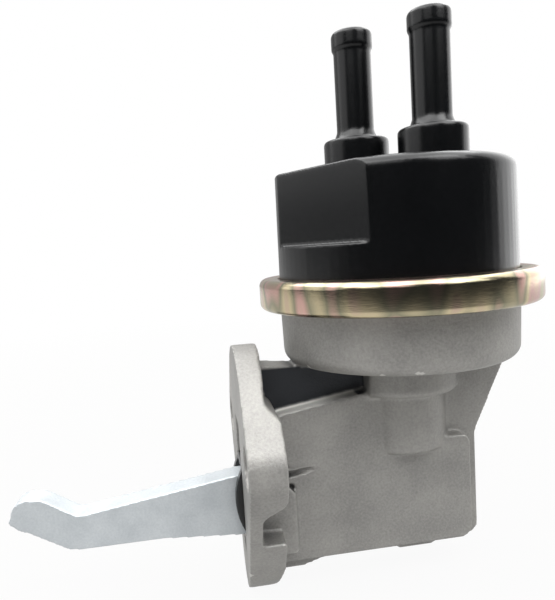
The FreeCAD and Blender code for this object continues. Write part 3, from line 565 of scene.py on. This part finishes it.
@dataclass
class CastBody(Moulding):
    """The lower body: its sloping rims, and the crease and notch behind the flange's near ear."""

    crease_low: Point = (7.2, -8.5, -8.4)
    crease_high: Point = (17.6, -5.0, -6.6)
    crease_end: Point = (17.6, -8.5, -5.6)
    crease_taper: Point = (1.0, 0.5, 0.42)
    notch_low: Point = (8.0, -8.5, -11.0)
    notch_high: Point = (11.3, -6.3, -9.5)
    rim_low: Point = (9.0, 3.7, 5.7)
    rim_high: Point = (30.8, 7.2, 6.5)
    rim_rise: tuple[float, float] = (2.5, 3.4)

    def detail(self, thing: bpy.types.Object) -> None:
        """Cuts the crease, which tapers away from the flange, and the notch, and adds the rims.

        Args:
            thing: the copy of the solid.
        """
        crease = bar("crease_tool", self.crease_low, self.crease_high)
        bpy.ops.object.mode_set(mode="EDIT")
        choose(crease, "FACE", lambda v: v.x > self.crease_high[0] * MM - NEAR)
        bpy.ops.transform.resize(value=self.crease_taper,
                                 center_override=[p * MM for p in self.crease_end])
        bpy.ops.object.mode_set(mode="OBJECT")
        combine(thing, crease, "DIFFERENCE")
        combine(thing, bar("notch_tool", self.notch_low, self.notch_high), "DIFFERENCE")
        for side in (-1, 1):
            near, far = sorted((side * self.rim_low[1], side * self.rim_high[1]))
            rim = bar("rim_tool", (self.rim_low[0], near, self.rim_low[2]),
                      (self.rim_high[0], far, self.rim_high[2]))
            bpy.ops.object.mode_set(mode="EDIT")
            for height, rise in zip((self.rim_low[2], self.rim_high[2]), self.rim_rise):
                choose(rim, "EDGE", lambda v, z=height: v.x > self.rim_high[0] * MM - NEAR
                       and abs(v.z - z * MM) < NEAR)
                bpy.ops.transform.translate(value=(0, 0, rise * MM))
            bpy.ops.object.mode_set(mode="OBJECT")
            combine(thing, rim, "UNION")


@dataclass
class CoverMoulding(Moulding):
    """The black cover, whose top edge is crisp behind the flat and round elsewhere."""

    axis_x: float = 39.5
    low: float = 43.15
    top: float = 59.45
    low_radius: float = 27.1
    top_radius: float = 26.9
    flat_turn: float = -149.0
    flat_distance: float = 23.6
    crisp_turn: float = 163.0
    crisp_distance: float = 23.2
    around: int = 256

    def slice(self, turn: float, distance: float, inside: bool) -> None:
        """Cuts the block, in edit mode, along an upright plane.

        Args:
            turn: the way that the plane faces, in degrees from +X.
            distance: its distance from the cover's axis.
            inside: whether the side towards the axis is kept.
        """
        out = Vector((math.cos(math.radians(turn)), math.sin(math.radians(turn)), 0.0))
        bpy.ops.mesh.select_all(action="SELECT")
        bpy.ops.mesh.bisect(plane_co=Vector((self.axis_x * MM, 0, 0)) + out * distance * MM,
                            plane_no=out, use_fill=True, clear_outer=inside,
                            clear_inner=not inside)

    def detail(self, thing: bpy.types.Object) -> None:
        """Fills the rounded edge behind the flat with a crisp segment.

        Args:
            thing: the copy of the solid.
        """
        bpy.ops.mesh.primitive_cone_add(
            vertices=self.around, radius1=self.low_radius * MM, radius2=self.top_radius * MM,
            depth=(self.top - self.low) * MM,
            location=(self.axis_x * MM, 0, (self.top + self.low) / 2 * MM))
        block = settle("crisp_edge_tool")
        bpy.ops.object.mode_set(mode="EDIT")
        self.slice(self.flat_turn, self.flat_distance, inside=True)
        self.slice(self.crisp_turn, self.crisp_distance, inside=False)
        bpy.ops.object.mode_set(mode="OBJECT")
        combine(thing, block, "UNION")


@dataclass
class HookedLever(Moulding):
    """The rocker lever, with the round nose of its hook."""

    nose_x: float = -46.5
    nose_z: float = -11.3
    nose_radius: float = 3.55
    half: float = 3.0
    around: int = 96

    def detail(self, thing: bpy.types.Object) -> None:
        """Adds the nose.

        Args:
            thing: the copy of the solid.
        """
        bpy.ops.mesh.primitive_cylinder_add(
            vertices=self.around, radius=self.nose_radius * MM, depth=2 * self.half * MM,
            location=(self.nose_x * MM, 0, self.nose_z * MM), rotation=(math.pi / 2, 0, 0))
        combine(thing, settle("nose_tool"), "UNION")


@dataclass
class CrimpRing:
    """Rolled steel ring with an outer wall and two lips turned in over the clamped rims.

    Sizes are in millimetres, the angle in degrees.
    """

    axis_x: float = 39.5
    low: float = 29.0
    high: float = 36.05
    radius: float = 32.0
    sheet: float = 1.2
    low_curl: float = 1.4
    high_curl: float = 1.7
    lip_radius: float = 27.6
    foot_radius: float = 27.45
    lip_round: float = 0.35
    sharp_above: float = 50.0
    around: int = 192
    curl_steps: int = 8
    lip_steps: int = 3

    def loop(self, thing: bpy.types.Object, height: float, beyond: float = 0.0) -> None:
        """Selects the edges that lie at one height.

        Args:
            thing: the ring, in edit mode.
            height: the height in millimetres.
            beyond: the distance from the axis, in metres, that they lie outside.
        """
        choose(thing, "EDGE", lambda v: abs(v.z - height * MM) < NEAR and math.hypot(
            v.x - self.axis_x * MM, v.y) > beyond)

    def build(self, material: bpy.types.Material) -> bpy.types.Object:
        """Rolls the wall's ends in over the two rims and gives the sheet its thickness.

        Args:
            material: the ring's finish.

        Returns:
            The ring.
        """
        centre = (self.axis_x * MM, 0.0, (self.low + self.high) / 2 * MM)
        bpy.ops.mesh.primitive_cylinder_add(
            vertices=self.around, radius=self.radius * MM, depth=(self.high - self.low) * MM,
            end_fill_type="NOTHING", location=centre)
        thing = settle("crimp_ring_rolled")
        bpy.ops.object.mode_set(mode="EDIT")
        for height, inner in ((self.high, self.lip_radius), (self.low, self.foot_radius)):
            self.loop(thing, height)
            bpy.ops.mesh.extrude_region_move()
            share = inner / self.radius
            bpy.ops.transform.resize(value=(share, share, 1.0), center_override=centre)
        for height, curl in ((self.high, self.high_curl), (self.low, self.low_curl)):
            self.loop(thing, height, beyond=self.radius * MM - NEAR)
            bpy.ops.mesh.bevel(offset=curl * MM, segments=self.curl_steps, affect="EDGES")
        bpy.ops.mesh.select_all(action="SELECT")
        bpy.ops.mesh.normals_make_consistent(inside=False)
        bpy.ops.object.mode_set(mode="OBJECT")
        modify(thing, "SOLIDIFY", thickness=self.sheet * MM, offset=-1.0, use_even_offset=True)
        modify(thing, "BEVEL", width=self.lip_round * MM, segments=self.lip_steps,
               limit_method="ANGLE", angle_limit=math.radians(self.sharp_above))
        bpy.ops.object.shade_smooth_by_angle(angle=SMOOTH_BELOW)
        return finish_piece(thing, material, "yellow_zinc", Body.ROOT, "crimp_ring")


@dataclass
class Coil:
    """A coil spring, copied from its solid; it is not made to shorten as its joint moves.

    Sizes are in millimetres; the travel, which is not used, is how far its free end moves at the
    joint's limit.
    """

    node: str
    joint: str
    fixed_z: float
    travel: float

    def build(self, material: bpy.types.Material) -> bpy.types.Object:
        """Copies the solid, paints it and puts it on the root body.

        Args:
            material: the wire's finish.

        Returns:
            The spring.
        """
        thing = merged_copy(self.node, self.node + "_coil")
        bpy.ops.object.shade_smooth_by_angle(angle=SMOOTH_BELOW)
        finish_piece(thing, material, "spring_steel", Body.ROOT, self.node)
        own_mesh(thing)
        return thing


COILS = (
    Coil("main_spring", "diaphragm_stroke", 12.9, 5.1),
    Coil("return_spring", "lever_swing", -25.0, 3.4),
    Coil("inlet_valve_spring", "inlet_valve_lift", 35.6, 0.6),
    Coil("outlet_valve_spring", "outlet_valve_lift", 46.5, 1.0),
)


@dataclass
class InnerPieces:
    """The other pieces inside the pump, which keep their solids and get a finish."""

    replaced: tuple[str, ...] = ("lower_body", "top_cover", "crimp_ring", "rocker_lever",
                                 "lever_guide", *(coil.node for coil in COILS))

    def dress(self, made: dict[str, bpy.types.Material]) -> None:
        """Gives each kept node the finish of its slot.

        Args:
            made: the materials by slot.
        """
        for row in frame["record"]["subparts"]:
            if row["node"] in self.replaced:
                continue
            thing = frame["nodes"][row["node"]]
            material = made[row["material_slot"]]
            thing.data.materials.clear()
            thing.data.materials.append(material)
            LOG.info("dressed %s in %s", row["node"], material.name)


# ---------------------------------------------------------------- studio


@dataclass
class Softbox:
    """A square lamp that looks at the pump."""

    name: str
    place: Point
    side: float
    power: float

    def build(self, target: Vector) -> None:
        """Hangs the lamp and turns it to a point.

        Args:
            target: the point in metres that the lamp looks at.
        """
        lamp = bpy.data.lights.new(self.name, "AREA")
        lamp.shape = "SQUARE"
        lamp.size = self.side
        lamp.energy = self.power
        thing = bpy.data.objects.new(self.name, lamp)
        bpy.context.collection.objects.link(thing)
        thing.location = self.place
        aim = target - Vector(self.place)
        thing.rotation_euler = aim.to_track_quat("-Z", "Y").to_euler()


@dataclass
class Studio:
    """Pale table, white backdrop, soft light and the camera.

    Sizes are in metres unless a name says otherwise, the camera's turn is in degrees. Each shine
    says how white a sheet shows in reflections, at its near and its far end.
    """

    camera_mm: Point = (-7.6, -126.3, 43.0)
    camera_turn: Point = (84.738, 3.478, -8.802)
    lens_mm: float = 33.6
    sensor_mm: float = 36.0
    clip: tuple[float, float] = (0.005, 50.0)
    paint: tuple[str, str] = ("#9a9997", "#a1a09e")
    sky_tint: str = "#e3ecf8"
    sky_strength: float = 0.045
    reach: float = 3.0
    table_x: float = 0.02
    wall_y: float = 1.2
    near: float = 0.12
    far: float = 0.55
    near_share: float = 0.94
    dark_y: float = -0.40
    bright_y: float = -0.10
    table_shine: tuple[float, float] = (0.04, 0.9)
    wall_shine: tuple[float, float] = (0.5, 0.5)
    lamps: list[Softbox] = field(default_factory=lambda: [
        Softbox("left_box", (-0.70, 0.05, 0.60), 1.10, 4.0),
        Softbox("right_box", (0.80, 0.35, 0.40), 1.00, 5.0),
        Softbox("top_box", (0.0, 0.0, 0.80), 1.50, 22.0),
        Softbox("front_box", (0.38, -0.42, 0.55), 0.45, 2.0),
        Softbox("near_box", (-0.22, -0.48, 0.52), 0.45, 0.9),
    ])

    def camera(self) -> None:
        """Puts the camera where the photograph was taken from."""
        lens = bpy.data.cameras.new("camera")
        lens.lens, lens.sensor_width, lens.sensor_fit = self.lens_mm, self.sensor_mm, "AUTO"
        lens.clip_start, lens.clip_end = self.clip
        thing = bpy.data.objects.new("camera", lens)
        bpy.context.collection.objects.link(thing)
        thing.location = Vector(self.camera_mm) * MM
        thing.rotation_euler = Euler([math.radians(a) for a in self.camera_turn], "XYZ")
        bpy.context.scene.camera = thing

    def pale(self, name: str, shine: tuple[float, float]) -> bpy.types.Material:
        """A pale matt paint that shows white to the camera and keeps the pump's shadow.

        Args:
            name: the material's name.
            shine: how white it shows in reflections, at its near and its far end.

        Returns:
            The material.
        """
        made = bpy.data.materials.new(name)
        made.use_nodes = True
        tree = made.node_tree
        tree.nodes.clear()
        place = add(tree, "ShaderNodeTexCoord").outputs["Object"]
        mottle = add(tree, "ShaderNodeTexNoise", {"Vector": place, "Scale": 3.0, "Detail": 2.0})
        tone = add(tree, "ShaderNodeValToRGB", {"Fac": mottle.outputs["Fac"]},
                   stops=list(zip((0.3, 0.7), map(linear, self.paint))))
        paint = add(tree, "ShaderNodeBsdfDiffuse", {"Color": tone.outputs["Color"]})
        away = add(tree, "ShaderNodeVectorMath", {0: place}, operation="LENGTH")
        white = add(tree, "ShaderNodeMapRange", {
            "Value": away.outputs["Value"], "From Min": self.near, "From Max": self.far,
            "To Min": self.near_share, "To Max": 1.0})
        ray = add(tree, "ShaderNodeLightPath")
        seen = add(tree, "ShaderNodeMath", {
            0: ray.outputs["Is Camera Ray"], 1: white.outputs["Result"]}, operation="MULTIPLY")
        along = add(tree, "ShaderNodeSeparateXYZ", {0: place})
        behind = add(tree, "ShaderNodeMapRange", {
            "Value": along.outputs["Y"], "From Min": self.dark_y, "From Max": self.bright_y,
            "To Min": shine[0], "To Max": shine[1]})
        strength = add(tree, "ShaderNodeMath", {
            0: ray.outputs["Is Camera Ray"], 1: behind.outputs["Result"]}, operation="MAXIMUM")
        glow = add(tree, "ShaderNodeEmission", {
            "Color": linear("#ffffff"), "Strength": strength.outputs[0]})
        share = add(tree, "ShaderNodeMath", {
            0: seen.outputs[0], 1: ray.outputs["Is Glossy Ray"]}, operation="MAXIMUM")
        mixed = add(tree, "ShaderNodeMixShader", {
            0: share.outputs[0], 1: paint.outputs[0], 2: glow.outputs[0]})
        add(tree, "ShaderNodeOutputMaterial", {"Surface": mixed.outputs[0]})
        return made

    def sheet(self, name: str, place: Point, tilt: float, shine: tuple[float, float]) -> None:
        """Adds a large pale sheet of the studio.

        Args:
            name: the sheet's name.
            place: its middle in metres.
            tilt: its turn about X in degrees.
            shine: how white it shows in reflections, at its near and its far end.
        """
        bpy.ops.mesh.primitive_plane_add(size=2 * self.reach, location=place,
                                         rotation=(math.radians(tilt), 0, 0))
        thing = bpy.context.active_object
        thing.name = name
        thing.data.materials.append(self.pale(name + "_paint", shine))

    def sky(self) -> None:
        """Makes the world plain dim light, and white where it is seen."""
        world = bpy.data.worlds.new("studio")
        bpy.context.scene.world = world
        world.use_nodes = True
        tree = world.node_tree
        tree.nodes.clear()
        soft = add(tree, "ShaderNodeBackground", {
            "Color": linear(self.sky_tint), "Strength": self.sky_strength})
        white = add(tree, "ShaderNodeBackground", {"Color": linear("#ffffff"), "Strength": 1.0})
        seen = add(tree, "ShaderNodeLightPath")
        either = add(tree, "ShaderNodeMath", {
            0: seen.outputs["Is Camera Ray"], 1: seen.outputs["Is Transmission Ray"]},
            operation="MAXIMUM")
        mixed = add(tree, "ShaderNodeMixShader", {
            0: either.outputs[0], 1: soft.outputs[0], 2: white.outputs[0]})
        add(tree, "ShaderNodeOutputWorld", {"Surface": mixed.outputs[0]})

    def build(self) -> None:
        """Sets up the camera, the table, the light and the plain view."""
        low, high = (Vector(c) for c in CAD_BOX)
        self.camera()
        self.sheet("table", (self.table_x, 0, low.z), 0, self.table_shine)
        self.sheet("backdrop", (0, self.wall_y, low.z + self.reach), 90, self.wall_shine)
        self.sky()
        for lamp in self.lamps:
            lamp.build((low + high) / 2)
        bpy.context.scene.view_settings.view_transform = "Standard"


def main() -> None:
    """Builds the pump's pieces in order and sets up the studio."""
    logging.basicConfig(level=logging.INFO, format="%(name)s: %(message)s")
    for thing in bpy.context.view_layer.objects:
        thing.select_set(False)
    made = {slot: finish.material() for slot, finish in INNER.items()}
    made["cast_aluminium"] = CAST.material()
    made["lever_steel"] = LEVER.material()
    made["black_nylon"] = GUIDE.material()
    InnerPieces().dress(made)
    CastBody("lower_body", "lower_body_cast", made["cast_aluminium"], "cast_aluminium").build()
    CoverMoulding("top_cover", "top_cover_moulded", COVER.material(), "black_plastic",
                  voxel=0.35, rounding=2).build()
    HookedLever("rocker_lever", "rocker_lever_pressed", made["lever_steel"], "lever_steel",
                Body.LEVER, voxel=0.3, rounding=1).build()
    Moulding("lever_guide", "lever_guide_moulded", made["black_nylon"], "black_nylon",
             voxel=0.3, rounding=3).build()
    CrimpRing().build(ZINC.material())
    for coil in COILS:
        coil.build(made["spring_steel"])
    Studio().build()


if __name__ == "__main__":
    main()
